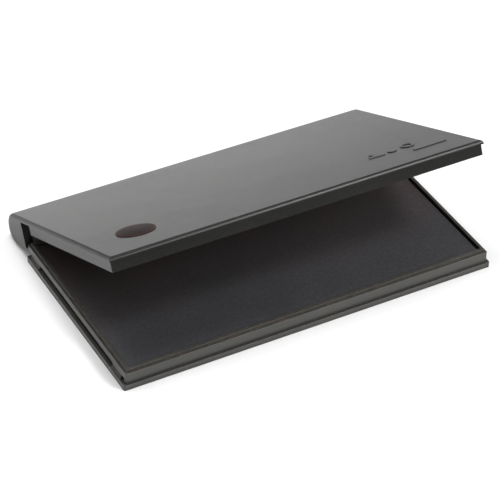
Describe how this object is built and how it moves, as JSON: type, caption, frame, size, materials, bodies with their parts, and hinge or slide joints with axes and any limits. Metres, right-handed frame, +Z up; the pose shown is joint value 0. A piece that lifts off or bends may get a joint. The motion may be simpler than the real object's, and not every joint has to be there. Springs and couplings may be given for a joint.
{
  "type": "ink pad",
  "caption": "Flat rectangular stamp pad with a hinged lid standing part open, a recessed cloth-covered felt pad, a round colour disc and a barrel hinge along the rear edge.",
  "frame": {"origin": "centre of the flat underside that the base rests on", "axes": "+X along the hinge and the long side, +Y from the front edge towards the hinge, +Z up"},
  "size_m": [0.168, 0.1101, 0.0562],
  "materials": {
    "base_plastic": "satin moulded",
    "lid_plastic": "satin, fine-grained",
    "tray_plastic": "satin moulded",
    "ink_felt": "wet felt",
    "ink_cloth": "fine weave, inked",
    "disc_plastic": "polished"
  },
  "bodies": {
    "base": {"bottom_plate": "base_plastic", "base_frame": "base_plastic", "pad_tray": "tray_plastic", "reservoir_felt": "ink_felt", "transfer_felt": "ink_felt", "pad_cloth": "ink_cloth"},
    "lid": {"lid_shell": "lid_plastic", "colour_disc": "disc_plastic"}
  },
  "joints": [
    {"name": "lid_hinge", "type": "hinge", "parent": "base", "child": "lid", "pos_m": [0, 0.0582, 0.0069], "axis": [-1, 0, 0], "range_deg": [-25, 80]}
  ]
}
